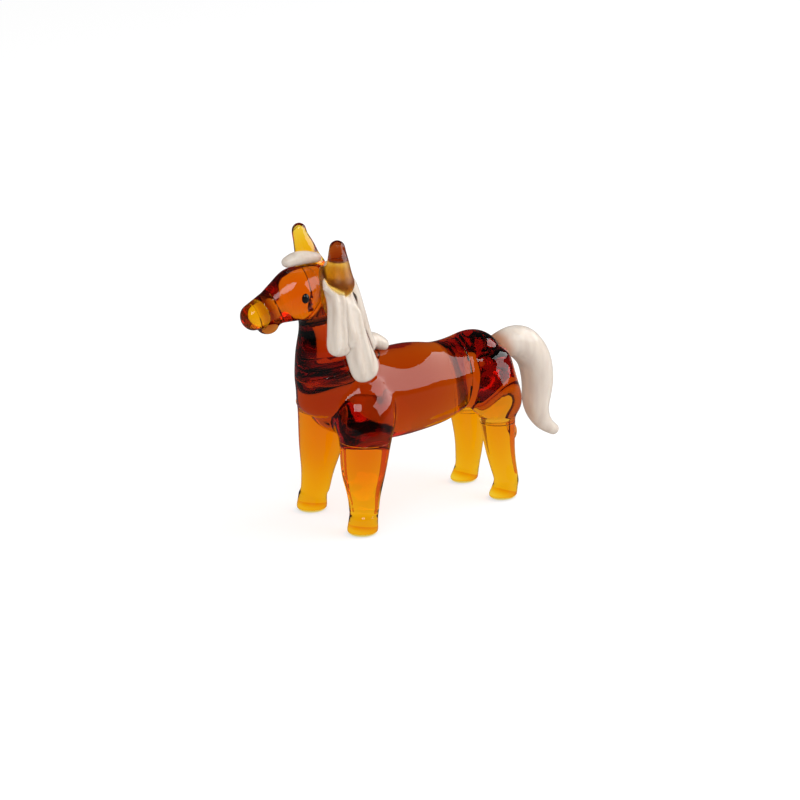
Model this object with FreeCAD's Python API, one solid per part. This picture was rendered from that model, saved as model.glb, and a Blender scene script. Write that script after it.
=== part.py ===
import FreeCAD
import Part
import math
import os
from collections import namedtuple

# Standing lampworked glass horse, built gather by gather. Sizes are in millimetres.
#
# Frame: +Z is up, the horse faces -Y and its left side is towards +X. The soles rest on
# z = 0, and the origin is under the middle of the whole horse's box.
#
# A gather is one lump of soft glass. Each one is a solid of its own, lofted through the
# oval rings along its spine. A gather that is melted on later is cut back to the ones
# before it, so that neighbours meet face to face.

Vector = FreeCAD.Vector
Ring = namedtuple("Ring", "x y z across deep")
Lock = namedtuple("Lock", "top top_back bottom bottom_back flare width")
RINGS_PER_SPAN = 2
QUARTER_ARC = 0.5523          # handle length of a curve that follows a quarter circle
DOME_TURNS = (28, 52, 70, 82)   # degrees round a dome at which it has a ring

# ---- driving dimensions -------------------------------------------------------------

# stance
STANCE_LENGTH = 36.4        # front soles to hind soles
FORE_STANCE = 17.8          # between the two front soles
HIND_STANCE = 13.2          # between the two hind soles
HIND_SHIFT = 1.2            # of both hind soles to the left
BODY_HEIGHT = 24.9          # barrel axis above the soles

# barrel: half widths and half heights, from chest to rump
CHEST = (8.0, 8.4)
GIRTH = (8.4, 9.1)
BELLY = (7.8, 8.3)
LOIN = (7.1, 7.4)
RUMP = (7.1, 7.3)
CHEST_BEHIND_FORE_SOLES = 1.7
RUMP_AHEAD_OF_HIND_SOLES = 2.6
BELLY_SHARE = 0.37          # of the way from the barrel's middle to its rump
LOIN_SHARE = 0.68
CHEST_DOME = 8.0
RUMP_DOME = 6.3
CHEST_RISE = 1.8            # of the chest's centre above the barrel axis
RUMP_RISE = 1.9

# front legs
FORE_JOINT_DROP = {"left": 5.9, "right": 2.7}   # of the leg's top below the barrel axis
FORE_JOINT_INSET = 1.7      # of the leg's top towards the middle, from above its sole
FORE_JOINT_BACK = 1.6       # of the leg's top towards the tail
FORE_LEG_BOW = 0.4          # of the leg's middle towards the other leg
FORE_LEG_TOP = 5.3
FORE_LEG_MIDDLE = 4.25
FORE_ANKLE = 2.85
FORE_SHIN = (3.55, 3.25)    # half width and half depth between the ankle and the middle
SHOULDER_TOP = (4.2, 5.2)
SHOULDER_MIDDLE = (5.2, 6.4)
SHOULDER_RISE = {"middle": 1.0, "top": 4.4}     # of its rings above the barrel axis
SHOULDER_INSET = {"low": 0.4, "middle": 1.4, "top": 2.9}    # from the leg's top
SHOULDER_BACK = {"low": 0.3, "middle": 0.8, "top": 1.4}
SHOULDER_DOME = 2.4

# hind legs
HIND_JOINT_DROP = 8.7       # of the leg's top below the barrel axis
HIND_JOINT_INSET = 1.5      # of the leg's top towards the middle, from half the stance
HIND_JOINT_SHIFT = 0.4      # of both tops to the left
HIND_JOINT_FORWARD = 0.8    # of the leg's top towards the head
HIND_LEG_BOW = 0.6          # of the leg's middle towards the other leg
HIND_LEG_MIDDLE_SHARE = 0.45    # of the way from the ankle to the leg's top
HIND_LEG_TOP = 3.7
HIND_LEG_MIDDLE = 3.0
HIND_ANKLE = 2.5
HIP = (4.6, 5.6)
THIGH = (5.0, 5.8)
THIGH_RISE = 4.2            # of the thigh above the leg's top
HIP_RISE = 3.8              # of the hip above the barrel axis
HAUNCH_INSET = {"middle": 0.6, "top": 1.8}      # from the leg's top
HAUNCH_FORWARD = {"low": 0.6, "middle": 1.5, "top": 1.7}
HAUNCH_DOME = 3.0
HOCK_BUMP = (1.3, 1.5, 2.1)
HOCK_BUMP_DROP = 3.3        # below the leg's top
HOCK_BUMP_SUNK = 0.3        # into the leg

# hooves
HOOF_HEIGHT = {"fore": 4.0, "hind": 3.6}
HOOF_FLARE = 0.15           # of the hoof's widest ring beyond the ankle
HOOF_TOE = {"fore": 0.3, "hind": 0.9}   # the hoof's lean towards the head
SOLE_ROUNDING = 0.9
TOE_SPREAD = 0.4            # of the hoof's half depth, for each millimetre of lean

# neck and head
NECK_RAKE = 8.0             # degrees off upright, towards the head
NECK_LENGTH = 18.5
NECK_START = (1.4, 1.2)     # of the neck's spine ahead of the chest and above the barrel axis
NECK_BASE_SHARE = 0.3       # of the way up the neck
NECK_MIDDLE_SHARE = 0.62
NECK_DOMES = (3.0, 3.4)
NECK_ROOT = (7.2, 8.6)
NECK_BASE = (6.7, 8.7)
NECK_MIDDLE = (5.7, 7.8)
NECK_THROAT = (5.0, 6.4)
HEAD_PITCH = 17.0           # degrees that the face drops towards the nose
POLL = (4.1, 4.5)
CHEEK = (4.7, 5.3)
BROW_TO_NOSE = (3.7, 4.3)
MUZZLE_ROOT = (3.1, 3.4)
NOSE = (2.6, 2.7)
FACE_START = (7.6, 4.3)     # of the cheeks ahead of the neck's end and above it
POLL_BACK = 4.2             # behind the middle of the cheeks
FACE_LENGTH = 10.3          # from the middle of the cheeks to the start of the muzzle's dome
MUZZLE_LENGTH = 4.0         # of the face, from the muzzle's root to its dome
BRIDGE_SHARE = 0.6          # of the way from the cheeks to the muzzle's root
HEAD_DOME = 3.8
MUZZLE_DOME = 2.4
LOWER_LIP = (1.8, 2.3, 1.7)
LOWER_LIP_BACK = 2.6        # behind the start of the muzzle's dome
LOWER_LIP_DROP = 0.5        # of the lip's middle below the nose
EYE = (1.0, 0.95, 1.15)
EYE_AHEAD_OF_CHEEK = 0.5
EYE_ABOVE_AXIS = 0.35
EYE_PROUD = 0.45            # of the bead's crown beyond the cheek

# ears
EAR_BACK = {"left": 3.0, "right": 1.9}   # of the roots behind the poll
EAR_RIGHT_INSET = 0.9       # of its root inside the poll's side
EAR_RIGHT_SUNK = 1.3        # of its root below the poll's top
EAR_RIGHT_LEAN = (-1.0, -2.0, 6.9)  # from its root to its tip
EAR_RIGHT_SIZE = (2.9, 1.45)        # half widths of its root and its tip
EAR_RIGHT_ROOT_DOME = 1.5
EAR_LEFT_OUTSET = 0.9       # of its root outside the poll's side
EAR_LEFT_SUNK = 3.6
EAR_LEFT_LEAN = (-1.1, 0.3, 6.7)
EAR_LEFT_SIZE = (3.0, 1.6)

# mane, forelock and tail
CREST = (2.3, 2.2)
CREST_END = (2.4, 1.7)
CREST_PROUD = 1.4           # of the crest's middle line inside the back of the neck
CREST_FRONT = 8.0           # of its front end beyond the neck's end
LOCK_THICKNESS = 1.25       # half thickness of a lock that lies on the neck
LOCK_TOP_SUNK = 2.0         # of a lock's top end into the crest
# a lock's ends: its top beyond the neck's end, its bottom as a share of the neck, each
# with its shift to the back, then its flare off the neck and its half width
LOCKS = {
    "front": Lock(7.0, -0.9, 0.72, -2.6, 1.1, 2.8),
    "rear": Lock(6.9, 0.5, 0.38, 2.0, 2.0, 3.1),
    "middle": Lock(7.0, -0.2, 0.72, -0.2, 1.5, 1.7),
}
# along a lock: the share of its length, of its flare, and of its full width
LOCK_RINGS = ((0.0, 0.0, 0.7), (0.3, 0.0, 0.85), (0.65, 0.45, 0.95), (1.0, 1.0, 1.0))
LOCK_DOME = 1.2
WITHERS_SHIFT = -0.9        # of the withers lock to the right of the middle
# along the withers lock: back from its start, up from the barrel's top, and half sizes
WITHERS_RINGS = ((2.4, 1.8, 2.2, 1.6), (4.2, 0.7, 2.0, 1.5))
WITHERS_START = (2.0, 1.5)
WITHERS_SHARE = 0.51        # of the way up the neck at which the withers lock starts
WITHERS_SUNK = 0.6          # of its start into the back of the neck
FORELOCK = (1.7, 1.3)
FORELOCK_SUNK = 0.3         # into the brow
# along the forelock: ahead of the cheeks, down from its line, to the left, and its fullness
FORELOCK_RINGS = ((-6.4, 1.2, 0.6, 0.75), (-4.0, 0.2, 0.1, 1.0), (-2.2, -0.2, -0.3, 1.0),
                  (-0.9, -0.2, -0.6, 0.85))
TAIL_ROOT = 2.7
TAIL_SWELL = 3.5
TAIL_TIP = 1.2
TAIL_DROP = 21.2            # of the tail's tip below its top
TAIL_SUNK = 3.9             # of the tail's top below the rump's top
TAIL_INSIDE = (2.6, 1.8)    # of the tail's root ahead of the rump's end and below its top
# along the tail: back from the rump, share of the drop, and half width off the swell
TAIL_RINGS = ((5.6, 0.04, 0.0), (9.0, 0.22, 0.0), (10.1, 0.46, 0.2), (9.9, 0.69, 0.7),
              (11.0, 0.84, 1.4), (12.6, 0.93, 1.9))
TAIL_REACH = 14.6           # of the tail's tip behind the rump

# ---- places worked out from them ----------------------------------------------------

FORE_Y = -STANCE_LENGTH / 2
HIND_Y = STANCE_LENGTH / 2
CHEST_Y = FORE_Y + CHEST_BEHIND_FORE_SOLES
RUMP_Y = HIND_Y - RUMP_AHEAD_OF_HIND_SOLES
MIDDLE_Y = (CHEST_Y + RUMP_Y) / 2


def along_neck(distance, back=0.0):
    """The (y, z) at a distance up the neck's spine, moved back at right angles to it."""
    rake = math.radians(NECK_RAKE)
    y = CHEST_Y - NECK_START[0] - distance * math.sin(rake) + back * math.cos(rake)
    z = BODY_HEIGHT + NECK_START[1] + distance * math.cos(rake) + back * math.sin(rake)
    return y, z


def along_face(distance, up=0.0):
    """The (y, z) at a distance ahead of the cheeks along the face, moved up off it."""
    pitch = math.radians(HEAD_PITCH)
    neck_y, neck_z = along_neck(NECK_LENGTH)
    y = neck_y - FACE_START[0] - distance * math.cos(pitch) - up * math.sin(pitch)
    z = neck_z + FACE_START[1] - distance * math.sin(pitch) + up * math.cos(pitch)
    return y, z


# ---- how a gather is made -----------------------------------------------------------

def ring_wire(centre, forward, across, deep):
    """An oval wire at right angles to forward, with its across axis nearest to X.

    It is four quarter arcs, so that a loft through such wires has four plain faces.
    """
    up = forward.cross(Vector(1, 0, 0)).normalize()
    side = up.cross(forward).normalize()
    corners = (side * across, up * deep, side * -across, up * -deep)
    edges = []
    for place, start in enumerate(corners):
        end = corners[(place + 1) % 4]
        arc = Part.BezierCurve()
        arc.setPoles([
            centre + start,
            centre + start + end * QUARTER_ARC,
            centre + end + start * QUARTER_ARC,
            centre + end,
        ])
        edges.append(arc.toShape())
    return Part.Wire(edges)


def dome(ring, outward, forward, length):
    """The shrinking rings that round off an end, down to a small flat crown."""
    centre = Vector(ring.x, ring.y, ring.z)
    rings = []
    for degrees in DOME_TURNS:
        turn = math.radians(degrees)
        shrink = math.cos(turn)
        place = centre + outward * (length * math.sin(turn))
        rings.append(ring_wire(place, forward, ring.across * shrink, ring.deep * shrink))
    return rings


def flow(rings, distances, place):
    """The slope of each of a ring's five values per millimetre of the spine."""
    before = max(place - 1, 0)
    after = min(place + 1, len(rings) - 1)
    span = distances[after] - distances[before]
    return [(end - start) / span for start, end in zip(rings[before], rings[after])]


def refine(rings):
    """Add rings between the given ones, on smooth cubic curves through their values."""
    distances = [0.0]
    for before, after in zip(rings, rings[1:]):
        step = math.dist(before[:3], after[:3])
        distances.append(distances[-1] + step)
    finer = [rings[0]]
    for place in range(len(rings) - 1):
        span = distances[place + 1] - distances[place]
        slopes = flow(rings, distances, place), flow(rings, distances, place + 1)
        for step in range(1, RINGS_PER_SPAN + 1):
            t = step / RINGS_PER_SPAN
            values = []
            for start, end, leave, arrive in zip(rings[place], rings[place + 1], *slopes):
                value = (2 * t**3 - 3 * t**2 + 1) * start + (3 * t**2 - 2 * t**3) * end
                value += (t**3 - 2 * t**2 + t) * span * leave + (t**3 - t**2) * span * arrive
                values.append(value)
            finer.append(Ring(*values))
    return finer


def gather(rings, first_dome=0.0, last_dome=0.0, level=False):
    """Loft a gather through its rings, with a dome or a flat face at each end.

    Level keeps every ring flat to the ground, as on a leg.
    """
    rings = refine(rings)
    centres = [Vector(ring.x, ring.y, ring.z) for ring in rings]
    sections = []
    forwards = []
    for place, ring in enumerate(rings):
        before = centres[max(place - 1, 0)]
        after = centres[min(place + 1, len(rings) - 1)]
        forward = (after - before).normalize()
        if level:
            forward = Vector(0, 0, 1 if forward.z > 0 else -1)
        forwards.append(forward)
        sections.append(ring_wire(centres[place], forward, ring.across, ring.deep))
    if first_dome:
        ends = dome(rings[0], -forwards[0], forwards[0], first_dome)
        sections = ends[::-1] + sections
    if last_dome:
        sections += dome(rings[-1], forwards[-1], forwards[-1], last_dome)
    return Part.makeLoft(sections, True, False)


def bead(x, y, z, radii):
    """An oval bead of glass with the three half sizes."""
    shape = Part.makeSphere(1.0)
    stretch = FreeCAD.Matrix()
    stretch.scale(*radii)
    shape = shape.transformGeometry(stretch)
    shape.translate(Vector(x, y, z))
    return shape


def melt_on(shape, *earlier):
    """Cut a gather back to the earlier ones, and keep its largest lump."""
    shape = shape.cut(list(earlier))
    return max(shape.Solids, key=lambda solid: solid.Volume)


def ring_on(place, x, section):
    """A ring at a (y, z) place with an (across, deep) section."""
    return Ring(x, place[0], place[1], section[0], section[1])


# ---- the gathers --------------------------------------------------------------------

def barrel():
    back = RUMP_Y - MIDDLE_Y
    return gather([
        Ring(0, CHEST_Y, BODY_HEIGHT + CHEST_RISE, *CHEST),
        Ring(0, (CHEST_Y + MIDDLE_Y) / 2, BODY_HEIGHT, *GIRTH),
        Ring(0, MIDDLE_Y, BODY_HEIGHT, *GIRTH),
        Ring(0, MIDDLE_Y + back * BELLY_SHARE, BODY_HEIGHT, *BELLY),
        Ring(0, MIDDLE_Y + back * LOIN_SHARE, BODY_HEIGHT + RUMP_RISE / 2, *LOIN),
        Ring(0, RUMP_Y, BODY_HEIGHT + RUMP_RISE, *RUMP),
    ], CHEST_DOME, RUMP_DOME)


def neck():
    return gather([
        ring_on(along_neck(0), 0, NECK_ROOT),
        ring_on(along_neck(NECK_LENGTH * NECK_BASE_SHARE), 0, NECK_BASE),
        ring_on(along_neck(NECK_LENGTH * NECK_MIDDLE_SHARE), 0, NECK_MIDDLE),
        ring_on(along_neck(NECK_LENGTH - 2.5), 0, NECK_THROAT),
        ring_on(along_neck(NECK_LENGTH + 1.5), 0, NECK_THROAT),
    ], *NECK_DOMES)


def head():
    muzzle_root = FACE_LENGTH - MUZZLE_LENGTH
    return gather([
        ring_on(along_face(-POLL_BACK), 0, POLL),
        ring_on(along_face(0), 0, CHEEK),
        ring_on(along_face(muzzle_root * BRIDGE_SHARE), 0, BROW_TO_NOSE),
        ring_on(along_face(muzzle_root), 0, MUZZLE_ROOT),
    ], HEAD_DOME, 0.0)


def muzzle():
    middle = ((MUZZLE_ROOT[0] + NOSE[0]) / 2, (MUZZLE_ROOT[1] + NOSE[1]) / 2)
    return gather([
        ring_on(along_face(FACE_LENGTH - MUZZLE_LENGTH), 0, MUZZLE_ROOT),
        ring_on(along_face(FACE_LENGTH - MUZZLE_LENGTH / 2), 0, middle),
        ring_on(along_face(FACE_LENGTH), 0, NOSE),
    ], 0.0, MUZZLE_DOME)


def lower_lip():
    y, z = along_face(FACE_LENGTH - LOWER_LIP_BACK, -NOSE[1] - LOWER_LIP_DROP)
    return bead(0, y, z, LOWER_LIP)


def eye(side):
    y, z = along_face(EYE_AHEAD_OF_CHEEK, EYE_ABOVE_AXIS)
    x = CHEEK[0] + EYE_PROUD - EYE[0]
    return bead(side * x, y, z, EYE)


def ear(name, root_x, sunk, lean, size, root_dome):
    """A drawn ear that narrows from its root to its tip."""
    y, z = along_face(-POLL_BACK)
    root = Vector(root_x, y + EAR_BACK[name], z + POLL[1] - sunk)
    wide, narrow = size
    rings = []
    for share in (0, 0.5, 1):
        place = root + Vector(*lean) * share
        half_width = wide + (narrow - wide) * share
        rings.append(Ring(place.x, place.y, place.z, half_width, half_width))
    return gather(rings, root_dome, narrow, level=True)


def fore_joint(side, name):
    """Where a front leg meets its shoulder."""
    x = side * (FORE_STANCE / 2 - FORE_JOINT_INSET)
    z = BODY_HEIGHT - FORE_JOINT_DROP[name]
    return Ring(x, FORE_Y + FORE_JOINT_BACK, z, FORE_LEG_TOP, FORE_LEG_TOP)


def shoulder(side, name):
    joint = fore_joint(side, name)
    heights = {
        "low": (joint.z + BODY_HEIGHT) / 2,
        "middle": BODY_HEIGHT + SHOULDER_RISE["middle"],
        "top": BODY_HEIGHT + SHOULDER_RISE["top"],
    }
    rings = [joint]
    for place, section in (
        ("low", SHOULDER_MIDDLE), ("middle", SHOULDER_MIDDLE), ("top", SHOULDER_TOP),
    ):
        x = joint.x - side * SHOULDER_INSET[place]
        rings.append(Ring(x, joint.y + SHOULDER_BACK[place], heights[place], *section))
    return gather(rings, 0.0, SHOULDER_DOME, level=True)


def foreleg(side, name):
    joint = fore_joint(side, name)
    sole = Vector(side * FORE_STANCE / 2, FORE_Y, 0)
    top = Vector(joint.x, joint.y, joint.z)
    ankle = sole + (top - sole) * (HOOF_HEIGHT["fore"] / joint.z)
    middle = (ankle + top) / 2 - Vector(side * FORE_LEG_BOW, 0, 0)
    shin = (ankle + middle) / 2
    return gather([
        Ring(ankle.x, ankle.y, ankle.z, FORE_ANKLE, FORE_ANKLE),
        Ring(shin.x, shin.y, shin.z, *FORE_SHIN),
        Ring(middle.x, middle.y, middle.z, FORE_LEG_MIDDLE, FORE_LEG_MIDDLE),
        joint,
    ], level=True)


def hind_sole_x(side):
    return side * HIND_STANCE / 2 + HIND_SHIFT


def hind_joint(side):
    """Where a hind leg meets its haunch."""
    x = side * (HIND_STANCE / 2 - HIND_JOINT_INSET) + HIND_JOINT_SHIFT
    z = BODY_HEIGHT - HIND_JOINT_DROP
    return Ring(x, HIND_Y - HIND_JOINT_FORWARD, z, HIND_LEG_TOP, HIND_LEG_TOP)


def haunch(side):
    joint = hind_joint(side)
    heights = {"low": joint.z + THIGH_RISE, "middle": BODY_HEIGHT, "top": BODY_HEIGHT + HIP_RISE}
    rings = [joint, Ring(joint.x, joint.y - HAUNCH_FORWARD["low"], heights["low"], *THIGH)]
    for place, section in (("middle", THIGH), ("top", HIP)):
        x = joint.x - side * HAUNCH_INSET[place]
        rings.append(Ring(x, joint.y - HAUNCH_FORWARD[place], heights[place], *section))
    return gather(rings, 0.0, HAUNCH_DOME, level=True)


def hind_leg(side):
    joint = hind_joint(side)
    ankle = Vector(hind_sole_x(side), HIND_Y, HOOF_HEIGHT["hind"])
    top = Vector(joint.x, joint.y, joint.z)
    middle = ankle + (top - ankle) * HIND_LEG_MIDDLE_SHARE - Vector(side * HIND_LEG_BOW, 0, 0)
    return gather([
        Ring(ankle.x, ankle.y, ankle.z, HIND_ANKLE, HIND_ANKLE),
        Ring(middle.x, middle.y, middle.z, HIND_LEG_MIDDLE, HIND_LEG_MIDDLE),
        joint,
    ], level=True)


def hock_bump(side):
    joint = hind_joint(side)
    y = joint.y + HIND_LEG_TOP - HOCK_BUMP_SUNK
    return bead(joint.x, y, joint.z - HOCK_BUMP_DROP, HOCK_BUMP)


def hoof(x, y, end, ankle):
    """A hoof whose flat sole rests on the ground."""
    high = HOOF_HEIGHT[end]
    toe = HOOF_TOE[end]
    wide = ankle + HOOF_FLARE
    deep = wide + toe * TOE_SPREAD
    edge = SOLE_ROUNDING
    return gather([
        Ring(x, y - toe, 0, wide - edge, deep - edge),
        Ring(x, y - toe, edge * 0.3, wide - edge * 0.35, deep - edge * 0.35),
        Ring(x, y - toe, edge, wide, deep),
        Ring(x, y - toe * 0.6, high * 0.55, (wide * 2 + ankle) / 3, (deep + ankle) / 2),
        Ring(x, y, high, ankle, ankle),
    ], level=True)


def crest():
    throat = NECK_THROAT[1] - CREST_PROUD
    middle = NECK_MIDDLE[1] - CREST_PROUD
    base = NECK_BASE[1] - CREST_PROUD
    low = NECK_LENGTH * (NECK_BASE_SHARE + NECK_MIDDLE_SHARE) / 2
    return gather([
        ring_on(along_neck(NECK_LENGTH + CREST_FRONT, throat - 3.2), 0.4, CREST_END),
        ring_on(along_neck(NECK_LENGTH + CREST_FRONT / 2, throat - 0.7), 0.6, CREST),
        ring_on(along_neck(NECK_LENGTH - 1.0, throat + 0.5), 0.6, CREST),
        ring_on(along_neck(NECK_LENGTH * NECK_MIDDLE_SHARE + 1.0, middle), 0.4, CREST),
        ring_on(along_neck(low, base + 0.4), 0.2, CREST_END),
    ], 1.6, 1.6)


def side_lock(name):
    """A lock that leaves the crest and lies on the left of the neck."""
    lock = LOCKS[name]
    top = NECK_LENGTH + lock.top
    bottom = NECK_LENGTH * lock.bottom
    surface = NECK_THROAT[0] + LOCK_THICKNESS / 2
    rings = []
    for share, flared, fullness in LOCK_RINGS:
        x = surface + lock.flare * flared - (LOCK_TOP_SUNK if share == 0 else 0)
        back = lock.top_back + share**2 * (lock.bottom_back - lock.top_back)
        place = along_neck(top + share * (bottom - top), back)
        rings.append(ring_on(place, x, (LOCK_THICKNESS + 0.3 * share, lock.width * fullness)))
    return gather(rings, LOCK_DOME, lock.width * 0.8)


def withers_lock():
    y, z = along_neck(NECK_LENGTH * WITHERS_SHARE, NECK_BASE[1] - WITHERS_SUNK)
    top = BODY_HEIGHT + GIRTH[1]
    rings = [Ring(WITHERS_SHIFT, y, z, *WITHERS_START)]
    for back, up, wide, deep in WITHERS_RINGS:
        rings.append(Ring(WITHERS_SHIFT, y + back, top + up, wide, deep))
    return gather(rings, LOCK_DOME, LOCK_DOME)


def forelock():
    line = CHEEK[1] + FORELOCK[1] - FORELOCK_SUNK
    rings = []
    for ahead, down, left, fullness in FORELOCK_RINGS:
        section = (FORELOCK[0] * fullness, FORELOCK[1] * fullness)
        rings.append(ring_on(along_face(ahead, line - down), left, section))
    return gather(rings, 1.0, 1.4)


def tail():
    y = RUMP_Y + RUMP_DOME
    z = BODY_HEIGHT + RUMP_RISE + RUMP[1] - TAIL_SUNK
    root = TAIL_ROOT + 0.3
    rings = [
        Ring(0, y - TAIL_INSIDE[0], z - TAIL_INSIDE[1], TAIL_ROOT, TAIL_ROOT),
        Ring(0, y + 2.0, z - 0.3, root, root),
    ]
    for back, share, thinner in TAIL_RINGS:
        half_width = TAIL_SWELL - thinner
        rings.append(Ring(0, y + back, z - TAIL_DROP * share, half_width, half_width))
    rings.append(Ring(0, y + TAIL_REACH, z - TAIL_DROP, TAIL_TIP, TAIL_TIP))
    return gather(rings, 1.5, 1.0)


def assemble():
    """Every gather by its node's name, each cut back to those it was melted on to."""
    nodes = {}

    def add(name, shape, *earlier):
        nodes[name] = melt_on(shape, *[nodes[other] for other in earlier]) if earlier else shape

    add("barrel", barrel())
    add("neck", neck(), "barrel")
    sides = (("left", 1), ("right", -1))
    for name, side in sides:
        add(f"shoulder_{name}", shoulder(side, name), "barrel", "neck")
        add(f"foreleg_{name}", foreleg(side, name), "barrel", f"shoulder_{name}")
        add(f"hoof_fore_{name}", hoof(side * FORE_STANCE / 2, FORE_Y, "fore", FORE_ANKLE))
    for name, side in sides:
        other = ["haunch_left", "hind_leg_left"] if side < 0 else []
        add(f"haunch_{name}", haunch(side), "barrel", *other)
        add(f"hind_leg_{name}", hind_leg(side), "barrel", f"haunch_{name}", *other)
        add(f"hoof_hind_{name}", hoof(hind_sole_x(side), HIND_Y, "hind", HIND_ANKLE))
        add(f"hock_bump_{name}", hock_bump(side), f"hind_leg_{name}", f"haunch_{name}")
    add("head", head(), "neck")
    add("muzzle", muzzle(), "head")
    add("lower_lip", lower_lip(), "head", "muzzle")
    add("ear_right", ear("right", EAR_RIGHT_INSET - POLL[0], EAR_RIGHT_SUNK, EAR_RIGHT_LEAN,
                         EAR_RIGHT_SIZE, EAR_RIGHT_ROOT_DOME), "head", "neck")
    add("ear_left", ear("left", POLL[0] + EAR_LEFT_OUTSET, EAR_LEFT_SUNK, EAR_LEFT_LEAN,
                        EAR_LEFT_SIZE, EAR_LEFT_SIZE[0]), "head", "neck", "ear_right")
    for name, side in sides:
        add(f"eye_{name}", eye(side), "head", "neck")
    under = ["neck", "head", "barrel", "ear_left", "mane_crest", "shoulder_left"]
    add("mane_crest", crest(), "neck", "head", "barrel", "ear_left", "ear_right")
    for name in ("front", "rear", "middle"):
        add(f"mane_lock_{name}", side_lock(name), *under)
        under.append(f"mane_lock_{name}")
    add("mane_lock_withers", withers_lock(), "neck", "barrel", "mane_crest", "mane_lock_rear")
    add("forelock", forelock(), "head", "neck", "ear_left", "ear_right", "mane_crest")
    add("tail", tail(), "barrel", "haunch_left", "haunch_right")
    return nodes


def main():
    nodes = assemble()
    box = FreeCAD.BoundBox()
    for shape in nodes.values():
        box.add(shape.optimalBoundingBox(False, False))
    os.makedirs("parts", exist_ok=True)
    for name, shape in nodes.items():
        shape.translate(Vector(-box.Center.x, -box.Center.y, -box.ZMin))
        shape.exportStep(f"parts/{name}.step")
        print(f"{name}: {shape.Volume:.1f} mm3, valid {shape.isValid()}")
    print(f"{box.XLength:.2f} x {box.YLength:.2f} x {box.ZLength:.2f} mm, {len(nodes)} nodes")


main()
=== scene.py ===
import logging
import math
from collections.abc import Sequence
from dataclasses import dataclass, field
from enum import Enum

import bmesh
import bpy
import numpy as np
from mathutils import Matrix, Vector


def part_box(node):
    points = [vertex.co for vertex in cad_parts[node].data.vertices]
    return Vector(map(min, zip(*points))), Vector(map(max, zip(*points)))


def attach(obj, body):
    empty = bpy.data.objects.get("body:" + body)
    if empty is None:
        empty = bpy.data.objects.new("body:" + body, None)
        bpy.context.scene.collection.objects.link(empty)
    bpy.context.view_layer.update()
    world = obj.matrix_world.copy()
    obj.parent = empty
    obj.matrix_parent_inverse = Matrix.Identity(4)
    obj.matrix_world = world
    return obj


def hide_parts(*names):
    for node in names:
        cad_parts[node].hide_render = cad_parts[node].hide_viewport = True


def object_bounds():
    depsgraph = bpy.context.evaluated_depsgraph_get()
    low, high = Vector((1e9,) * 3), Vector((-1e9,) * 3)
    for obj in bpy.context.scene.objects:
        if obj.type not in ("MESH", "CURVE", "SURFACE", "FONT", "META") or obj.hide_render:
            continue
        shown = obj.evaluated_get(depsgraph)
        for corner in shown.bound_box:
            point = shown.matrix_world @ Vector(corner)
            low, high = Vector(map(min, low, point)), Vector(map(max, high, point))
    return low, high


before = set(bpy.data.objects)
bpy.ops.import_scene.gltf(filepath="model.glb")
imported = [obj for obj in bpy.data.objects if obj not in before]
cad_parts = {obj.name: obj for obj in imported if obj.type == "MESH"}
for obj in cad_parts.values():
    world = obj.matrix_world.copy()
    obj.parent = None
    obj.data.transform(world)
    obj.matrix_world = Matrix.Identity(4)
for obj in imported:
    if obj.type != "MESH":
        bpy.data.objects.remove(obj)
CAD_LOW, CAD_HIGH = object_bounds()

log = logging.getLogger("glass_horse")
MM = 0.001
TAIL_LEAN = 0.36  # how far the tail's inner side moves back for each step down


class Slot(Enum):
    """The record's material slots."""

    AMBER = "amber_glass"
    HONEY = "honey_glass"
    IVORY = "ivory_glass"
    BLACK = "black_glass"


class Cut(Enum):
    """What a cutter does to a shape."""

    KEEP = "INTERSECT"
    TAKE_AWAY = "DIFFERENCE"


# ---- finishes ------------------------------------------------------------------------


def new_material(name: str) -> tuple[bpy.types.Material, bpy.types.NodeTree]:
    """Start a node material with an output and nothing else.

    Args:
        name: The material's name.

    Returns:
        The material and its node tree.
    """
    material = bpy.data.materials.new(name)
    material.use_nodes = True
    tree = material.node_tree
    tree.nodes.clear()
    tree.nodes.new("ShaderNodeOutputMaterial").name = "output"
    return material, tree


def hand_worked_surface() -> bpy.types.NodeTree:
    """Build the shared group for the slow ripple that a flame leaves on glass.

    Returns:
        A shader group from Scale to Height.
    """
    group = bpy.data.node_groups.new("hand_worked_surface", "ShaderNodeTree")
    group.interface.new_socket("Scale", in_out="INPUT", socket_type="NodeSocketFloat")
    group.interface.new_socket("Height", in_out="OUTPUT", socket_type="NodeSocketFloat")
    entry = group.nodes.new("NodeGroupInput")
    leave = group.nodes.new("NodeGroupOutput")
    place = group.nodes.new("ShaderNodeTexCoord")
    noise = group.nodes.new("ShaderNodeTexNoise")
    noise.inputs["Detail"].default_value = 1.0
    group.links.new(place.outputs["Object"], noise.inputs["Vector"])
    group.links.new(entry.outputs["Scale"], noise.inputs["Scale"])
    group.links.new(noise.outputs["Fac"], leave.inputs["Height"])
    return group


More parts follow.
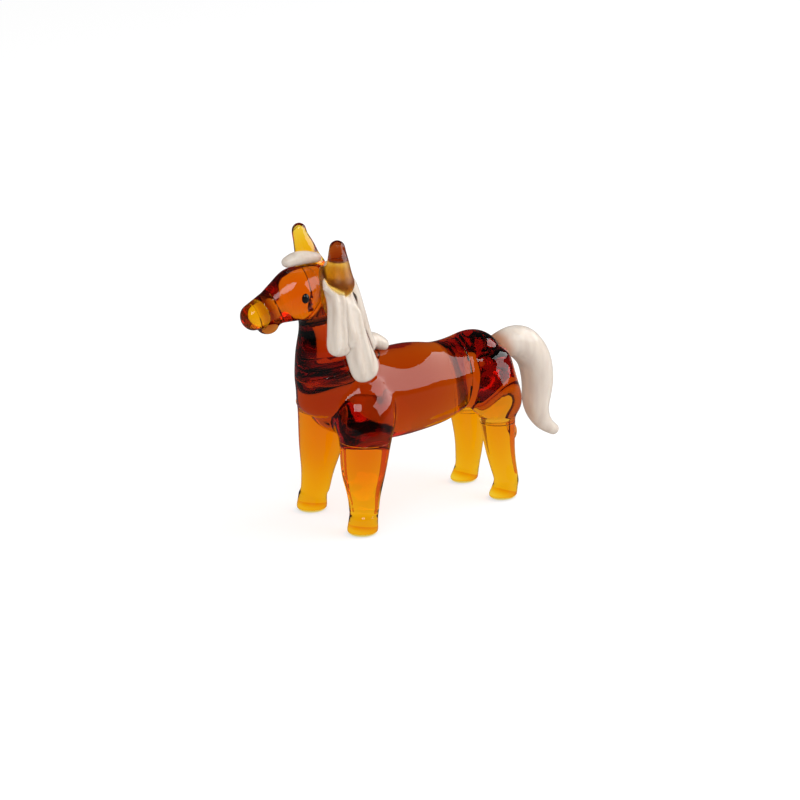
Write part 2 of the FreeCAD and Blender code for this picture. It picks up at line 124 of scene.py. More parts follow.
@dataclass(frozen=True)
class ClearGlass:
    """A clear coloured glass, fire polished, that darkens with its thickness.

    Attributes:
        name: The glass's name.
        slot: The record's material slot.
        fade: Absorption of red, green and blue per millimetre.
        ior: Index of refraction.
        ripple: Depth of the flame's ripple, in millimetres.
        waves: Waves of the ripple per metre.
        haze: Roughness, where the glass is a little cloudy.
    """

    name: str
    slot: Slot
    fade: tuple[float, float, float]
    ior: float = 1.5
    ripple: float = 0.012
    waves: float = 240.0
    haze: float = 0.0

    def absorb(self, tree: bpy.types.NodeTree) -> None:
        """Add the absorption inside the glass to a material's output.

        Args:
            tree: The material's node tree.
        """
        density = max(self.fade) / MM * 1.02
        volume = tree.nodes.new("ShaderNodeVolumeAbsorption")
        tint = [1.0 - fade / MM / density for fade in self.fade]
        volume.inputs["Color"].default_value = (*tint, 1.0)
        volume.inputs["Density"].default_value = density
        tree.links.new(volume.outputs["Volume"], tree.nodes["output"].inputs["Volume"])

    def surface(self, worked: bpy.types.NodeTree) -> bpy.types.Material:
        """Build the outside of the glass, which lets the lamps' light through.

        Args:
            worked: The shared surface ripple group.

        Returns:
            The material.
        """
        material, tree = new_material(self.name)
        shader = tree.nodes.new("ShaderNodeBsdfPrincipled")
        shader.inputs["Base Color"].default_value = (1.0, 1.0, 1.0, 1.0)
        shader.inputs["Transmission Weight"].default_value = 1.0
        shader.inputs["Roughness"].default_value = self.haze
        shader.inputs["IOR"].default_value = self.ior
        ripple = tree.nodes.new("ShaderNodeGroup")
        ripple.node_tree = worked
        ripple.inputs["Scale"].default_value = self.waves
        bump = tree.nodes.new("ShaderNodeBump")
        bump.inputs["Distance"].default_value = self.ripple * MM
        rays = tree.nodes.new("ShaderNodeLightPath")
        clear = tree.nodes.new("ShaderNodeBsdfTransparent")
        either = tree.nodes.new("ShaderNodeMixShader")
        link = tree.links.new
        link(ripple.outputs["Height"], bump.inputs["Height"])
        link(bump.outputs["Normal"], shader.inputs["Normal"])
        link(rays.outputs["Is Shadow Ray"], either.inputs["Fac"])
        link(shader.outputs["BSDF"], either.inputs[1])
        link(clear.outputs["BSDF"], either.inputs[2])
        link(either.outputs["Shader"], tree.nodes["output"].inputs["Surface"])
        self.absorb(tree)
        return material

    def seam(self) -> bpy.types.Material:
        """Build the joint inside the glass, where two gathers are melted together.

        Returns:
            The material.
        """
        material, tree = new_material(f"{self.name}_seam")
        clear = tree.nodes.new("ShaderNodeBsdfTransparent")
        tree.links.new(clear.outputs["BSDF"], tree.nodes["output"].inputs["Surface"])
        self.absorb(tree)
        return material


@dataclass(frozen=True)
class OpaqueGlass:
    """A solid-coloured glass with soft drawn streaks under a polished face.

    Attributes:
        name: The glass's name.
        slot: The record's material slot.
        pale: Colour of most of the glass.
        streak: Colour of the drawn streaks.
        painted_amber_reflection: Colour of a painted reflection of the body's amber light, with
            painted shade, on the side that lies towards the amber glass, or None.
        spread: How far light spreads under the face, in millimetres.
        roughness: Roughness of the face.
        ripple: Depth of the ripple, in millimetres.
        waves: Waves of the ripple per metre.
        scatter: Share of the light that spreads under the face.
        strands: Streaks per metre across and along the strands.
        painted_reflection_reach: Where the painted reflection and shade is full and where it ends,
            in millimetres from the edge.
    """

    name: str
    slot: Slot
    pale: tuple[float, float, float]
    streak: tuple[float, float, float]
    painted_amber_reflection: tuple[float, float, float] | None = None
    spread: float = 0.6
    roughness: float = 0.22
    ripple: float = 0.06
    waves: float = 450.0
    scatter: float = 0.3
    strands: tuple[float, float, float] = (800.0, 800.0, 140.0)
    painted_reflection_reach: tuple[float, float] = (0.6, 4.2)

    def surface(self, worked: bpy.types.NodeTree, edge: float = 0.0) -> bpy.types.Material:
        """Build the glass.

        Args:
            worked: The shared surface ripple group.
            edge: Where the painted reflection and shade is strongest, along y and a share of z, in
                metres.

        Returns:
            The material.
        """
        material, tree = new_material(self.name)
        shader = tree.nodes.new("ShaderNodeBsdfPrincipled")
        shader.inputs["Roughness"].default_value = self.roughness
        shader.inputs["IOR"].default_value = 1.5
        shader.inputs["Subsurface Weight"].default_value = self.scatter if self.spread else 0.0
        shader.inputs["Subsurface Scale"].default_value = self.spread * MM
        shader.inputs["Subsurface Radius"].default_value = (1.0, 0.8, 0.6)
        place = tree.nodes.new("ShaderNodeTexCoord")
        stretch = tree.nodes.new("ShaderNodeMapping")
        stretch.inputs["Scale"].default_value = self.strands
        noise = tree.nodes.new("ShaderNodeTexNoise")
        noise.inputs["Scale"].default_value = 1.0
        noise.inputs["Detail"].default_value = 3.0
        blend = tree.nodes.new("ShaderNodeMix")
        blend.data_type = "RGBA"
        blend.inputs["A"].default_value = (*self.pale, 1.0)
        blend.inputs["B"].default_value = (*self.streak, 1.0)
        ramp = tree.nodes.new("ShaderNodeMapRange")
        ramp.inputs["From Min"].default_value = 0.4
        ramp.inputs["From Max"].default_value = 0.75
        ripple = tree.nodes.new("ShaderNodeGroup")
        ripple.node_tree = worked
        ripple.inputs["Scale"].default_value = self.waves
        bump = tree.nodes.new("ShaderNodeBump")
        bump.inputs["Distance"].default_value = self.ripple * MM
        link = tree.links.new
        link(place.outputs["Object"], stretch.inputs["Vector"])
        link(stretch.outputs["Vector"], noise.inputs["Vector"])
        link(noise.outputs["Fac"], ramp.inputs["Value"])
        link(ramp.outputs["Result"], blend.inputs["Factor"])
        colour = blend.outputs["Result"]
        # Painted reflection of the body's amber light with painted shade: strongest at the edge,
        # fading away from it.
        if self.painted_amber_reflection:
            lean = tree.nodes.new("ShaderNodeVectorMath")
            lean.operation = "DOT_PRODUCT"
            lean.inputs[1].default_value = (0.0, 1.0, TAIL_LEAN)
            fade = tree.nodes.new("ShaderNodeMapRange")
            fade.interpolation_type = "SMOOTHSTEP"
            fade.inputs["From Min"].default_value = edge + self.painted_reflection_reach[1] * MM
            fade.inputs["From Max"].default_value = edge + self.painted_reflection_reach[0] * MM
            tint = tree.nodes.new("ShaderNodeMix")
            tint.data_type = "RGBA"
            tint.inputs["B"].default_value = (*self.painted_amber_reflection, 1.0)
            link(place.outputs["Object"], lean.inputs[0])
            link(lean.outputs["Value"], fade.inputs["Value"])
            link(fade.outputs["Result"], tint.inputs["Factor"])
            link(colour, tint.inputs["A"])
            colour = tint.outputs["Result"]
        link(colour, shader.inputs["Base Color"])
        link(ripple.outputs["Height"], bump.inputs["Height"])
        link(bump.outputs["Normal"], shader.inputs["Normal"])
        link(shader.outputs["BSDF"], tree.nodes["output"].inputs["Surface"])
        return material


BODY = ClearGlass("amber_glass", Slot.AMBER, (0.054, 0.185, 0.7))
HAUNCH = ClearGlass("amber_glass_haunch", Slot.AMBER, (0.038, 0.15, 0.6))
NECK = ClearGlass("amber_glass_neck", Slot.AMBER, (0.075, 0.30, 0.9))
CHEEK = ClearGlass("amber_glass_cheek", Slot.AMBER, (0.042, 0.24, 0.9))
SMOKE = ClearGlass("amber_glass_dark", Slot.AMBER, (0.24, 0.62, 1.3))
KNOB = ClearGlass("amber_glass_knob", Slot.AMBER, (0.36, 0.95, 1.7))
HONEY = ClearGlass("honey_glass", Slot.HONEY, (0.03, 0.18, 1.1))
EAR = ClearGlass("honey_glass_hazy", Slot.HONEY, (0.015, 0.10, 0.6), haze=0.4)
IVORY = OpaqueGlass("ivory_glass", Slot.IVORY, (0.69, 0.61, 0.53), (0.58, 0.48, 0.40))
# The tail's amber tint is a painted reflection of the body's amber light, with painted shade.
TAIL_IVORY = OpaqueGlass("ivory_glass_tail", Slot.IVORY, (0.69, 0.61, 0.53), (0.62, 0.53, 0.46),
                         painted_amber_reflection=(0.40, 0.19, 0.11))
BLACK = OpaqueGlass("black_glass", Slot.BLACK, (0.004, 0.004, 0.005), (0.008, 0.008, 0.01),
                    spread=0.0, roughness=0.06, ripple=0.0)


# ---- mesh helpers --------------------------------------------------------------------


def link_mesh(name: str, mesh: bpy.types.Mesh) -> bpy.types.Object:
    """Put a mesh in the scene as an object at the origin.

    Args:
        name: The object's name.
        mesh: Its mesh.

    Returns:
        The object.
    """
    mesh.name = name
    thing = bpy.data.objects.new(name, mesh)
    bpy.context.scene.collection.objects.link(thing)
    return thing


def settle(thing: bpy.types.Object) -> bpy.types.Object:
    """Replace an object by its mesh as its modifiers leave it.

    Args:
        thing: An object with modifiers. It is removed.

    Returns:
        The new object, with the same name and no modifiers.
    """
    name = thing.name
    graph = bpy.context.evaluated_depsgraph_get()
    mesh = bpy.data.meshes.new_from_object(thing.evaluated_get(graph))
    bpy.data.objects.remove(thing)
    return link_mesh(name, mesh)


def shape(name: str, build: bmesh.types.BMesh) -> bpy.types.Object:
    """Turn a bmesh into an object, with outward normals.

    Args:
        name: The object's name.
        build: The bmesh. It is freed.

    Returns:
        The object.
    """
    bmesh.ops.recalc_face_normals(build, faces=build.faces)
    mesh = bpy.data.meshes.new(name)
    build.to_mesh(mesh)
    build.free()
    return link_mesh(name, mesh)


def ball(name: str, centre: Vector, radii: Vector, turn: Matrix) -> bpy.types.Object:
    """Make an oval cutter.

    Args:
        name: The cutter's name.
        centre: Its middle.
        radii: Its three half sizes.
        turn: Its rotation.

    Returns:
        The cutter.
    """
    build = bmesh.new()
    place = Matrix.Translation(centre) @ turn.to_4x4() @ Matrix.Diagonal((*radii, 1.0))
    bmesh.ops.create_uvsphere(build, u_segments=96, v_segments=48, radius=1.0, matrix=place)
    return shape(name, build)


def slab(name: str, centre: Vector, halves: Vector, turn: Matrix) -> bpy.types.Object:
    """Make a box cutter.

    Args:
        name: The cutter's name.
        centre: Its middle.
        halves: Its three half sizes.
        turn: Its rotation.

    Returns:
        The cutter.
    """
    build = bmesh.new()
    place = Matrix.Translation(centre) @ turn.to_4x4() @ Matrix.Diagonal((*(halves * 2), 1.0))
    bmesh.ops.create_cube(build, size=1.0, matrix=place)
    return shape(name, build)


def cut(name: str, body: bpy.types.Object, cutter: bpy.types.Object, how: Cut) -> bpy.types.Object:
    """Cut one shape by another, and leave both as they were.

    Args:
        name: The result's name.
        body: The shape to cut.
        cutter: The cutter.
        how: What the cutter does.

    Returns:
        The cut shape.
    """
    result = link_mesh(name, body.data.copy())
    carve = result.modifiers.new("cut", "BOOLEAN")
    carve.solver = "MANIFOLD"
    carve.operation = how.value
    carve.object = cutter
    return settle(result)


def melt(name: str, nodes: list[str], voxel: float, fillet: float, passes: int,
         extra: Sequence[bpy.types.Object] = ()) -> bpy.types.Object:
    """Melt CAD nodes into one smooth skin.

    Args:
        name: The new object's name.
        nodes: The CAD nodes to melt together.
        voxel: Size of the skin's faces, in millimetres.
        fillet: Radius left in the creases between the nodes, in millimetres.
        passes: Rounds of smoothing.
        extra: Other shapes that are melted in. They are removed.

    Returns:
        The skin.
    """
    shell = bmesh.new()
    for node in nodes:
        shell.from_mesh(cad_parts[node].data)
    for thing in extra:
        shell.from_mesh(thing.data)
        bpy.data.objects.remove(thing)
    bmesh.ops.remove_doubles(shell, verts=shell.verts, dist=1e-7)
    source = shape(name, shell)
    for step, swell in enumerate((fillet, -fillet)):
        remesh = source.modifiers.new(f"remesh_{step}", "REMESH")
        remesh.mode = "VOXEL"
        remesh.voxel_size = voxel * MM
        if fillet:
            push = source.modifiers.new(f"swell_{step}", "DISPLACE")
            push.mid_level = 0.0
            push.strength = swell * MM
    smooth = source.modifiers.new("smooth", "SMOOTH")
    smooth.factor = 0.5
    smooth.iterations = passes
    skin = settle(source)
    skin.data.materials.clear()
    co = np.empty(len(skin.data.vertices) * 3, np.float32)
    skin.data.vertices.foreach_get("co", co)
    co[2::3] = np.maximum(co[2::3], CAD_LOW.z)
    skin.data.vertices.foreach_set("co", co)
    skin.data.update()
    return skin


def finish(thing: bpy.types.Object, slot: Slot, *nodes: str) -> bpy.types.Object:
    """Shade a piece smooth, hang it on the body, and let it stand for its CAD nodes.

    Args:
        thing: The piece.
        slot: The record's material slot. Not used.
        nodes: The CAD nodes that it replaces.

    Returns:
        The piece.
    """
    mesh = thing.data
    mesh.polygons.foreach_set("use_smooth", [True] * len(mesh.polygons))
    mesh.update()
    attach(thing, "root")
    if nodes:
        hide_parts(*nodes)
    log.info("%s: %d faces", thing.name, len(mesh.polygons))
    return thing


# ---- the horse -----------------------------------------------------------------------


@dataclass
class Gather:
    """One lump of glass that is cut from the melted skin.

    Attributes:
        name: The piece's name.
        glass: Its glass.
        nodes: The CAD nodes that it replaces.
        cutter: The shape that bounds it inside the skin, or None for what is left.
    """

    name: str
    glass: ClearGlass
    nodes: tuple[str, ...]
    cutter: bpy.types.Object | None


@dataclass(frozen=True)
class HeadCut:
    """Where a cutter sits in the head, in millimetres from the middle of the eyes.

    Attributes:
        ahead: Towards the nose, along the face.
        up: Towards the forehead, square to the face.
        half: The cutter's half sizes across, along and up the face.
    """

    ahead: float
    up: float
    half: tuple[float, float, float]


@dataclass
class ClearBody:
    """The clear glass of the horse: one melted skin, cut into its gathers.

    Attributes:
        voxel: Size of the skin's faces, in millimetres.
        fillet: Radius in the creases, in millimetres.
        passes: Rounds of smoothing.
        overlap: How far neighbours reach into each other, in millimetres.
        face_pitch: Degrees that the face drops towards the nose.
        sole: Height of the highest face that belongs to the sole, in millimetres.
        sole_tilt: How far such a face looks down at least, as its normal's z.
        muzzle: The honey patch on the muzzle.
        cheek: The round cheek.
        face: The dark face between the cheek and the nose.
        skull: The head behind the cheek.
        knob: Half sizes of the near ear's dark tip, in millimetres.
        knob_drop: How far the middle of that tip is under the top of the ear.
        neck_drop: How far the middle of the neck's oval is under the top of the neck.
        neck: Half sizes of the neck's oval.
        haunch_back: How far the haunch's oval is behind the middle of the haunch.
        haunch: Half sizes of the haunch's oval.
        leg_room: How far a leg's cutter reaches past the leg, across and along.
        leg_depth: How far down a leg's cutter goes.
        ear_room: Size of an ear's cutter against the ear, sideways and in height.
    """

    voxel: float = 0.24
    fillet: float = 0.5
    passes: int = 12
    overlap: float = 0.02
    face_pitch: float = 17.0
    sole: float = 1.6
    sole_tilt: float = -0.3
    muzzle: HeadCut = HeadCut(9.9, 0.2, (9, 2.6, 3.9))
    cheek: HeadCut = HeadCut(0.3, 0.5, (9, 5.5, 6.2))
    face: HeadCut = HeadCut(11.0, 0.0, (8, 10.5, 9))
    skull: HeadCut = HeadCut(-6.0, 0.0, (8, 12, 7.2))
    knob: tuple[float, float, float] = (3.5, 3.5, 3.4)
    knob_drop: float = 1.2
    neck_drop: float = 8.0
    neck: tuple[float, float, float] = (9, 14, 12)
    haunch_back: float = 1.0
    haunch: tuple[float, float, float] = (16, 8.6, 18)
    leg_room: tuple[float, float] = (2.2, 3.2)
    leg_depth: float = 40.0
    ear_room: tuple[float, float] = (1.35, 1.12)
    nodes: list[str] = field(default_factory=lambda: [
        "barrel", "neck", "head", "muzzle", "lower_lip", "ear_left", "ear_right",
        "shoulder_left", "shoulder_right", "haunch_left", "haunch_right",
        "foreleg_left", "foreleg_right", "hind_leg_left", "hind_leg_right",
        "hoof_fore_left", "hoof_fore_right", "hoof_hind_left", "hoof_hind_right",
        "hock_bump_left", "hock_bump_right",
    ])

    def build(self, worked: bpy.types.NodeTree) -> None:
        """Melt the skin and cut the gathers from it.

        Args:
            worked: The shared surface ripple group.
        """
        rest = melt("clear_skin", self.nodes, self.voxel, self.fillet, self.passes)
        for _ in range(2):
            rest.data.materials.append(None)
        for gather in self.gathers():
            if gather.cutter is None:
                piece = rest
                piece.name = gather.name
            else:
                wide = gather.cutter
                wide.data.materials.append(None)
                wide.data.materials.append(None)
                wide.data.polygons.foreach_set("material_index", [1] * len(wide.data.polygons))
                piece = cut(gather.name, rest, wide, Cut.KEEP)
                slim = link_mesh("slim", wide.data.copy())
                shrink = slim.modifiers.new("shrink", "DISPLACE")
                shrink.mid_level = 0.0
                shrink.strength = -self.overlap * MM
                slim = settle(slim)
                left = cut("clear_skin_left", rest, slim, Cut.TAKE_AWAY)
                for gone in (rest, slim, wide):
                    bpy.data.objects.remove(gone)
                rest = left
            piece.data.materials.clear()
            piece.data.materials.append(gather.glass.surface(worked))
            piece.data.materials.append(gather.glass.seam())
            if any(node.startswith("hoof") for node in gather.nodes):
                self.ground_sole(piece)
            self.sharpen_seams(piece)
            finish(piece, gather.glass.slot, *gather.nodes)

    def ground_sole(self, piece: bpy.types.Object) -> None:
        """Let light pass straight between the floor and the sole that stands on it.

        Args:
            piece: A leg with its hoof.
        """
        for face in piece.data.polygons:
            if face.center.z < CAD_LOW.z + self.sole * MM and face.normal.z < self.sole_tilt:
                face.material_index = 1

    def sharpen_seams(self, piece: bpy.types.Object) -> None:
        """Keep the seam's faces from bending the normals of the polished ones.

        Args:
            piece: A gather.
        """
        mesh = piece.data
        build = bmesh.new()
        build.from_mesh(mesh)
        for edge in build.edges:
            if len({face.material_index for face in edge.link_faces}) > 1:
                edge.smooth = False
        build.to_mesh(mesh)
        build.free()

    def gathers(self) -> list[Gather]:
        """List the gathers with their cutters, in the order in which they are cut.

        Returns:
            The gathers.
        """
        found = [
            self.leg("foreleg_left", "hoof_fore_left", dome=0.8),
            self.leg("foreleg_right", "hoof_fore_right", dome=3.0),
            self.leg("hind_leg_left", "hoof_hind_left", "hock_bump_left", dome=3.0),
            self.leg("hind_leg_right", "hoof_hind_right", "hock_bump_right", dome=2.0),
        ]
        pitch = Matrix.Rotation(math.radians(self.face_pitch), 3, "X")
        eye = sum(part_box("eye_left"), Vector()) / 2
        ahead = pitch @ Vector((0.0, -1.0, 0.0))
        up = pitch @ Vector((0.0, 0.0, 1.0))

        def place(at: HeadCut) -> tuple[Vector, Vector, Matrix]:
            """Place a cutter in the head.

            Args:
                at: Where it sits.

            Returns:
                Its middle, half sizes and rotation.
            """
            middle = Vector((0.0, eye.y, eye.z)) + (ahead * at.ahead + up * at.up) * MM
            return middle, Vector(at.half) * MM, pitch

        tip = max(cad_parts["ear_left"].data.vertices, key=lambda vertex: vertex.co.z).co
        knob = tip - Vector((0, 0, self.knob_drop * MM))
        haunch = sum(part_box("haunch_left"), Vector()) / 2
        haunch = Vector((0.0, haunch.y + self.haunch_back * MM, haunch.z))
        neck_low, neck_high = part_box("neck")
        neck = Vector((0.0, (neck_low.y + neck_high.y) / 2, neck_high.z - self.neck_drop * MM))
        found += [
            Gather("muzzle_glass", HONEY, ("muzzle", "lower_lip"),
                   ball("muzzle_cut", *place(self.muzzle))),
            Gather("ear_left_knob_glass", KNOB, (),
                   ball("knob_cut", knob, Vector(self.knob) * MM, pitch)),
            Gather("ear_right_glass", HONEY, ("ear_right",), self.ear_cutter("ear_right", 0.0)),
            Gather("ear_left_glass", EAR, ("ear_left",), self.ear_cutter("ear_left", 2.2)),
            Gather("cheek_glass", CHEEK, (), ball("cheek_cut", *place(self.cheek))),
            Gather("face_band_glass", SMOKE, (), slab("band_cut", *place(self.face))),
            Gather("head_glass", NECK, ("head",), slab("head_cut", *place(self.skull))),
            Gather("neck_glass", NECK, ("neck",),
                   ball("neck_cut", neck, Vector(self.neck) * MM, pitch)),
            Gather("haunch_glass", HAUNCH, ("haunch_left", "haunch_right"),
                   ball("haunch_cut", haunch, Vector(self.haunch) * MM, Matrix.Identity(3))),
            Gather("body_glass", BODY, ("barrel", "shoulder_left", "shoulder_right"), None),
        ]
        return found

    def leg(self, *nodes: str, dome: float) -> Gather:
        """Cut a leg from its top down, with an arched top.

        Args:
            nodes: The leg's CAD nodes, the leg itself first.
            dome: Height of the arch, in millimetres.

        Returns:
            The gather.
        """
        low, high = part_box(nodes[0])
        centre = (low + high) / 2
        reach = (high - low) / 2 + Vector((*self.leg_room, 0)) * MM
        cutter = ball(f"{nodes[0]}_cut", Vector(), Vector((1, 1, 1)), Matrix.Identity(3))
        for vertex in cutter.data.vertices:
            x, y, z = vertex.co
            if z > 0:
                up = high.z + dome * MM * (z - 1.0)
            else:
                up = high.z - dome * MM + z * self.leg_depth * MM
            vertex.co = (centre.x + x * reach.x, centre.y + y * reach.y, up)
        return Gather(f"{nodes[0]}_glass", HONEY, nodes, cutter)

    def ear_cutter(self, node: str, drop: float) -> bpy.types.Object:
        """Bound an ear by a tall oval that stands on the head.

        Args:
            node: The ear's CAD node.
            drop: How much lower than the ear the oval's middle is, in millimetres.

        Returns:
            The cutter.
        """
        low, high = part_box(node)
        centre = (low + high) / 2
        half = (high - low) / 2
        side, tall = self.ear_room
        radii = Vector((half.x * side, half.y * side, half.z * tall + drop * MM))
        return ball(f"{node}_cut", centre - Vector((0, 0, drop * MM)), radii, Matrix.Identity(3))


@dataclass
class Ivory:
    """The drawn ivory glass: the mane's locks, the forelock and the tail.

    Attributes:
        voxel: Size of the faces, in millimetres.
        passes: Rounds of smoothing.
        ridge: Half thickness of a ridge along a lock, in millimetres.
        proud: How far a ridge's middle line is under the lock's face, in millimetres.
        stations: Points along a ridge.
        ends: How far a ridge stops short of the lock's top and foot, in millimetres.
        near: How far from a point the lock is measured, in millimetres.
        across: Share of the lock's half width that a ridge may stray from its middle.
        taper: Thickness of a thread along its way, as points of a curve.
        sides: Sides of a thread's profile.
        painted_reflection_span: The part of the tail that the edge of the painted reflection and
            shade is measured on, as shares of its height.
    """

    voxel: float = 0.16
    passes: int = 8
    ridge: float = 1.0
    proud: float = 0.62
    stations: int = 12
    ends: tuple[float, float] = (0.4, 0.7)
    near: float = 0.9
    across: float = 0.72
    taper: tuple[tuple[float, float], ...] = ((0.0, 0.25), (1.0, 0.35), (0.2, 0.9), (0.8, 1.0))
    sides: int = 12
    painted_reflection_span: tuple[float, float] = (0.35, 0.8)

    def build(self, worked: bpy.types.NodeTree) -> None:
        """Make every ivory piece.

        Args:
            worked: The shared surface ripple group.
        """
        skin = IVORY.surface(worked)
        low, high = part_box("tail")
        foot, top = (low.z + share * (high.z - low.z) for share in self.painted_reflection_span)
        # Edge of the painted reflection and shade: the tail's side nearest the body, leaning back
        # lower down.
        edge = min(vertex.co.y + TAIL_LEAN * vertex.co.z
                   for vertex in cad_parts["tail"].data.vertices if foot < vertex.co.z < top)
        sweep = self.sweep_group()
        for name, nodes, fillet in (
            ("mane_lock_front_glass", {"mane_lock_front": (-0.6, 0.15)}, 0.25),
            ("mane_glass", {
                "mane_lock_middle": (0.0,), "mane_lock_rear": (-0.5, 0.35),
                "mane_crest": (), "mane_lock_withers": (),
            }, 0.7),
            ("forelock_glass", {"forelock": ()}, 0.0),
            ("tail_glass", {"tail": ()}, 0.0),
        ):
            ridges = [self.ridge_on(node, share, sweep)
                      for node, shares in nodes.items() for share in shares]
            piece = melt(name, list(nodes), self.voxel, fillet, self.passes, ridges)
            tail = "tail" in nodes
            piece.data.materials.append(TAIL_IVORY.surface(worked, edge) if tail else skin)
            finish(piece, Slot.IVORY, *nodes)

    def sweep_group(self) -> bpy.types.NodeTree:
        """Build the Geometry Nodes group that draws a tapered thread along a path.

        Returns:
            The group.
        """
        group = bpy.data.node_groups.new("drawn_thread", "GeometryNodeTree")
        face = group.interface
        face.new_socket("Geometry", in_out="INPUT", socket_type="NodeSocketGeometry")
        face.new_socket("Half Width", in_out="INPUT", socket_type="NodeSocketFloat")
        face.new_socket("Geometry", in_out="OUTPUT", socket_type="NodeSocketGeometry")
        nodes, link = group.nodes, group.links.new
        entry, leave = nodes.new("NodeGroupInput"), nodes.new("NodeGroupOutput")
        curve = nodes.new("GeometryNodeMeshToCurve")
        ring = nodes.new("GeometryNodeCurvePrimitiveCircle")
        ring.inputs["Resolution"].default_value = self.sides
        along = nodes.new("GeometryNodeSplineParameter")
        arch = nodes.new("ShaderNodeFloatCurve")
        points = arch.mapping.curves[0].points
        points[0].location, points[1].location, *middle = self.taper
        for point in middle:
            points.new(*point)
        sweep = nodes.new("GeometryNodeCurveToMesh")
        sweep.inputs["Fill Caps"].default_value = True
        real = nodes.new("GeometryNodeRealizeInstances")
        dress = nodes.new("GeometryNodeSetMaterial")
        link(entry.outputs["Geometry"], curve.inputs["Mesh"])
        link(curve.outputs["Curve"], sweep.inputs["Curve"])
        link(entry.outputs["Half Width"], ring.inputs["Radius"])
        link(ring.outputs["Curve"], sweep.inputs["Profile Curve"])
        link(along.outputs["Factor"], arch.inputs["Value"])
        link(arch.outputs["Value"], sweep.inputs["Scale"])
        link(sweep.outputs["Mesh"], real.inputs["Geometry"])
        link(real.outputs["Geometry"], dress.inputs["Geometry"])
        link(dress.outputs["Geometry"], leave.inputs["Geometry"])
        return group

    def ridge_on(self, node: str, share: float, sweep: bpy.types.NodeTree) -> bpy.types.Object:
        """Draw a thread down the outside of a lock.

        Args:
            node: The lock's CAD node.
            share: Where it runs across the lock, from -1 at its front to 1 at its back.
            sweep: The thread's Geometry Nodes group.

        Returns:
            The thread as a mesh.
        """
        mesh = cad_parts[node].data
        points = np.array([vertex.co for vertex in mesh.vertices])
        low, high = points[:, 2].min(), points[:, 2].max()
        path = []
        for level in np.linspace(high - self.ends[0] * MM, low + self.ends[1] * MM, self.stations):
            near = points[np.abs(points[:, 2] - level) < self.near * MM]
            if len(near) < 6:
                continue
            front, back = near[:, 1].min(), near[:, 1].max()
            y = (front + back) / 2 + share * (back - front) / 2 * self.across
            beside = near[np.abs(near[:, 1] - y) < self.near * MM]
            if len(beside) == 0:
                continue
            path.append((beside[:, 0].max() - self.proud * MM, y, level))
        thread = bpy.data.meshes.new(f"{node}_thread")
        thread.from_pydata(path, [(i, i + 1) for i in range(len(path) - 1)], [])
        thing = link_mesh(f"{node}_thread", thread)
        draw = thing.modifiers.new("draw", "NODES")
        draw.node_group = sweep
        for socket in sweep.interface.items_tree:
            if socket.name == "Half Width":
                draw[socket.identifier] = self.ridge * MM
        return settle(thing)


@dataclass
class Eyes:
    """The black glass beads.

    Attributes:
        voxel: Size of the faces, in millimetres.
        passes: Rounds of smoothing.
    """

    voxel: float = 0.08
    passes: int = 3

    def build(self, worked: bpy.types.NodeTree) -> None:
        """Melt each bead smooth.

        Args:
            worked: The shared surface ripple group.
        """
        skin = BLACK.surface(worked)
        for node in ("eye_left", "eye_right"):
            piece = melt(f"{node}_bead", [node], self.voxel, 0.0, self.passes)
            piece.data.materials.append(skin)
            finish(piece, Slot.BLACK, node)


@dataclass(frozen=True)
class SoftBox:
    """A square lamp that faces the horse.

    Attributes:
        name: The lamp's name.
        turn: Degrees round the horse.
        tilt: Degrees above the floor.
        away: Distance, in metres.
        size: Width and height, in metres.
        power: Light, in watts.
    """

    name: str
    turn: float
    tilt: float
    away: float
    size: tuple[float, float]
    power: float


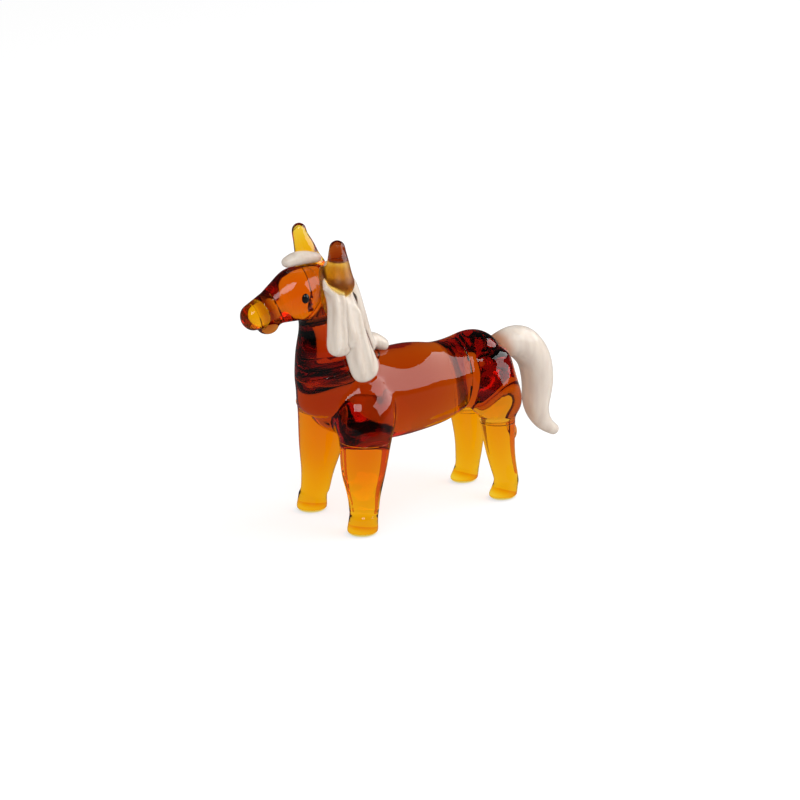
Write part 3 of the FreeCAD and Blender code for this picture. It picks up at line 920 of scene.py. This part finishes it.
@dataclass
class Studio:
    """The floor, the lights and the camera.

    Attributes:
        boxes: The soft boxes.
        centre: Height that the soft boxes point at, in millimetres.
        half_floor: Half size of the floor, in metres.
        gap: Between the floor and the soles, in millimetres.
        floor_tones: Of the floor to soft light, to the camera and to reflections.
        floor_glow: Light that the camera sees the floor give off.
        room_soft: Light of the room on the horse.
        room_gloss: Light of the room in reflections.
        look_height: Height that the camera is level with, in millimetres.
        aim: How far the camera points left of and below that place, in millimetres.
        azimuth: Degrees of the camera round the horse from its face.
        elevation: Degrees of the camera above the floor.
        distance: Of the camera, in metres.
        lens: Focal length.
    """

    azimuth: float = 54.0
    elevation: float = 16.5
    distance: float = 0.65
    lens: float = 146.25
    boxes: tuple[SoftBox, ...] = (
        SoftBox("band_box", 64.0, 29.0, 0.5, (0.70, 0.36), 2.1),
        SoftBox("front_box", -40.0, 45.0, 0.6, (0.25, 0.25), 0.8),
    )
    centre: float = 30.0
    half_floor: float = 3.0
    gap: float = 0.02
    floor_tones: tuple[float, float, float] = (0.8, 0.42, 0.12)
    floor_glow: float = 0.62
    room_soft: float = 0.75
    room_gloss: float = 0.03
    look_height: float = 33.0
    aim: tuple[float, float] = (2.0, 10.4)

    def build(self) -> None:
        """Make the floor, world, lamps and camera."""
        self.floor()
        self.world()
        self.lamps()
        self.camera()

    def floor(self) -> None:
        """Make a white floor that keeps the horse's shadow and is dim in reflections."""
        mesh = bpy.data.meshes.new("floor")
        half = self.half_floor
        mesh.from_pydata(
            [(-half, -half, 0), (half, -half, 0), (half, half, 0), (-half, half, 0)],
            [], [(0, 1, 2, 3)],
        )
        floor = link_mesh("floor", mesh)
        floor.location.z = CAD_LOW.z - self.gap * MM
        material, tree = new_material("pale_floor")
        new, link = tree.nodes.new, tree.links.new
        rays = new("ShaderNodeLightPath")
        pale, seen, dim = (new("ShaderNodeBsdfDiffuse") for _ in range(3))
        for shader, tone in zip((pale, seen, dim), self.floor_tones):
            shader.inputs["Color"].default_value = (tone, tone, tone, 1.0)
        glow, white = new("ShaderNodeEmission"), new("ShaderNodeEmission")
        glow.inputs["Strength"].default_value = self.floor_glow
        lit = new("ShaderNodeAddShader")
        link(seen.outputs["BSDF"], lit.inputs[0])
        link(glow.outputs["Emission"], lit.inputs[1])
        last = pale.outputs["BSDF"]
        for ray, shader in (
            ("Is Glossy Ray", dim.outputs["BSDF"]),
            ("Is Transmission Ray", white.outputs["Emission"]),
            ("Is Camera Ray", lit.outputs["Shader"]),
        ):
            either = new("ShaderNodeMixShader")
            link(rays.outputs[ray], either.inputs["Fac"])
            link(last, either.inputs[1])
            link(shader, either.inputs[2])
            last = either.outputs["Shader"]
        link(last, tree.nodes["output"].inputs["Surface"])
        mesh.materials.append(material)

    def world(self) -> None:
        """Light the horse from a dim room and show white behind it."""
        world = bpy.data.worlds.new("studio")
        bpy.context.scene.world = world
        world.use_nodes = True
        tree = world.node_tree
        tree.nodes.clear()
        out = tree.nodes.new("ShaderNodeOutputWorld")
        white = tree.nodes.new("ShaderNodeBackground")
        white.inputs["Strength"].default_value = 1.0
        white.inputs["Color"].default_value = (1.0, 1.0, 1.0, 1.0)
        room = tree.nodes.new("ShaderNodeBackground")
        room.inputs["Color"].default_value = (1.0, 1.0, 1.0, 1.0)
        rays = tree.nodes.new("ShaderNodeLightPath")
        strength = tree.nodes.new("ShaderNodeMapRange")
        strength.inputs["To Min"].default_value = self.room_soft
        strength.inputs["To Max"].default_value = self.room_gloss
        seen = tree.nodes.new("ShaderNodeMath")
        seen.operation = "MAXIMUM"
        either = tree.nodes.new("ShaderNodeMixShader")
        link = tree.links.new
        link(rays.outputs["Is Glossy Ray"], strength.inputs["Value"])
        link(strength.outputs["Result"], room.inputs["Strength"])
        link(rays.outputs["Is Camera Ray"], seen.inputs[0])
        link(rays.outputs["Is Transmission Ray"], seen.inputs[1])
        link(seen.outputs["Value"], either.inputs["Fac"])
        link(room.outputs["Background"], either.inputs[1])
        link(white.outputs["Background"], either.inputs[2])
        link(either.outputs["Shader"], out.inputs["Surface"])

    def lamps(self) -> None:
        """Hang the soft boxes."""
        for box in self.boxes:
            data = bpy.data.lights.new(box.name, "AREA")
            data.shape = "RECTANGLE"
            data.size, data.size_y = box.size
            data.energy = box.power
            lamp = bpy.data.objects.new(box.name, data)
            turn, tilt = math.radians(box.turn), math.radians(box.tilt)
            out = Vector((
                math.cos(turn) * math.cos(tilt), math.sin(turn) * math.cos(tilt), math.sin(tilt),
            ))
            lamp.location = Vector((0, 0, self.centre * MM)) + out * box.away
            lamp.rotation_euler = (-out).to_track_quat("-Z", "Y").to_euler()
            bpy.context.scene.collection.objects.link(lamp)

    def camera(self) -> None:
        """Point a long lens at the horse."""
        data = bpy.data.cameras.new("camera")
        data.lens = self.lens
        camera = bpy.data.objects.new("camera", data)
        turn, tilt = math.radians(self.azimuth), math.radians(self.elevation)
        away = Vector((
            math.sin(turn) * math.cos(tilt), -math.cos(turn) * math.cos(tilt), math.sin(tilt),
        ))
        right = Vector((math.cos(turn), math.sin(turn), 0.0))
        up = away.cross(right)
        hooves = [sum(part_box(f"hoof_{end}_{side}"), Vector()) / 2
                  for end in ("fore", "hind") for side in ("left", "right")]
        middle = sum(hooves, Vector()) / len(hooves)
        look = Vector((0, middle.y, self.look_height * MM))
        camera.location = look + away * self.distance
        aim = look - right * self.aim[0] * MM - up * self.aim[1] * MM
        camera.rotation_euler = (aim - camera.location).to_track_quat("-Z", "Y").to_euler()
        bpy.context.scene.collection.objects.link(camera)
        bpy.context.scene.camera = camera


def main() -> None:
    """Build the horse's looks piece by piece."""
    logging.basicConfig(level=logging.INFO, format="%(name)s: %(message)s")
    bpy.context.scene.view_settings.view_transform = "Standard"
    worked = hand_worked_surface()
    ClearBody().build(worked)
    Ivory().build(worked)
    Eyes().build(worked)
    Studio().build()


if __name__ == "__main__":
    main()
